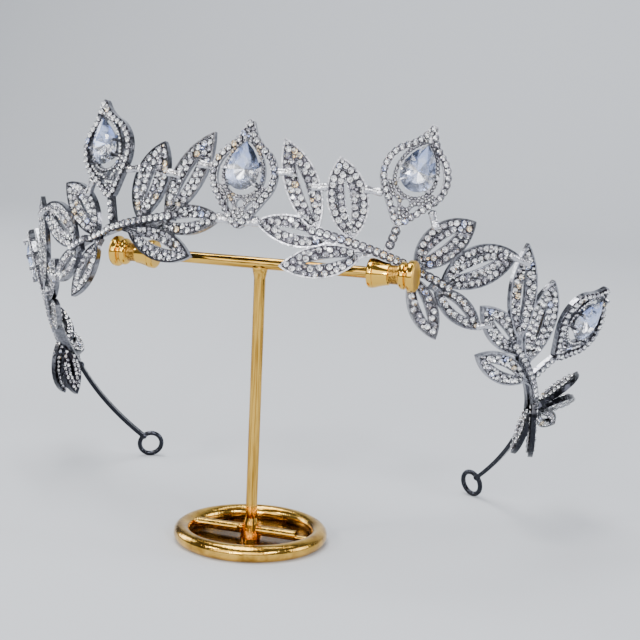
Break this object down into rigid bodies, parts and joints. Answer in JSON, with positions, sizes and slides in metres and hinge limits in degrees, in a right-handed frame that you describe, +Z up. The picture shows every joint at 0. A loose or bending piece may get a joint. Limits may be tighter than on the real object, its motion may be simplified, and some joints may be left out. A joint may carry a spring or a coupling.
{
  "type": "rhinestone tiara on T-bar stand",
  "caption": "Openwork leaf tiara set with small cut stones and pear-cut drops, resting over the bar of a small turned T-bar stand with a ring base.",
  "frame": {"origin": "centre of the stand's underside, on the axis of its post", "axes": "+Z up, X along the bar from knob to knob, the front of the tiara faces -Y"},
  "size_m": [0.2079, 0.1068, 0.1333],
  "materials": {
    "tiara_metal": "polished dark silver plating",
    "gold_metal": "polished gold plating",
    "pear_crystal": "faceted, foiled back",
    "small_crystal": "faceted, foiled back"
  },
  "bodies": {
    "root": {"tiara_frame": "tiara_metal", "stone_centre": "pear_crystal", "stone_inner_right": "pear_crystal", "stone_inner_left": "pear_crystal", "stone_outer_right": "pear_crystal", "stone_outer_left": "pear_crystal", "drop_stones_centre": "small_crystal", "drop_stones_inner_right": "small_crystal", "drop_stones_inner_left": "small_crystal", "drop_stones_outer_right": "small_crystal", "drop_stones_outer_left": "small_crystal", "stem_stones_right": "small_crystal", "stem_stones_left": "small_crystal", "stand": "gold_metal", "knob_right": "gold_metal", "knob_left": "gold_metal"}
  },
  "joints": []
}
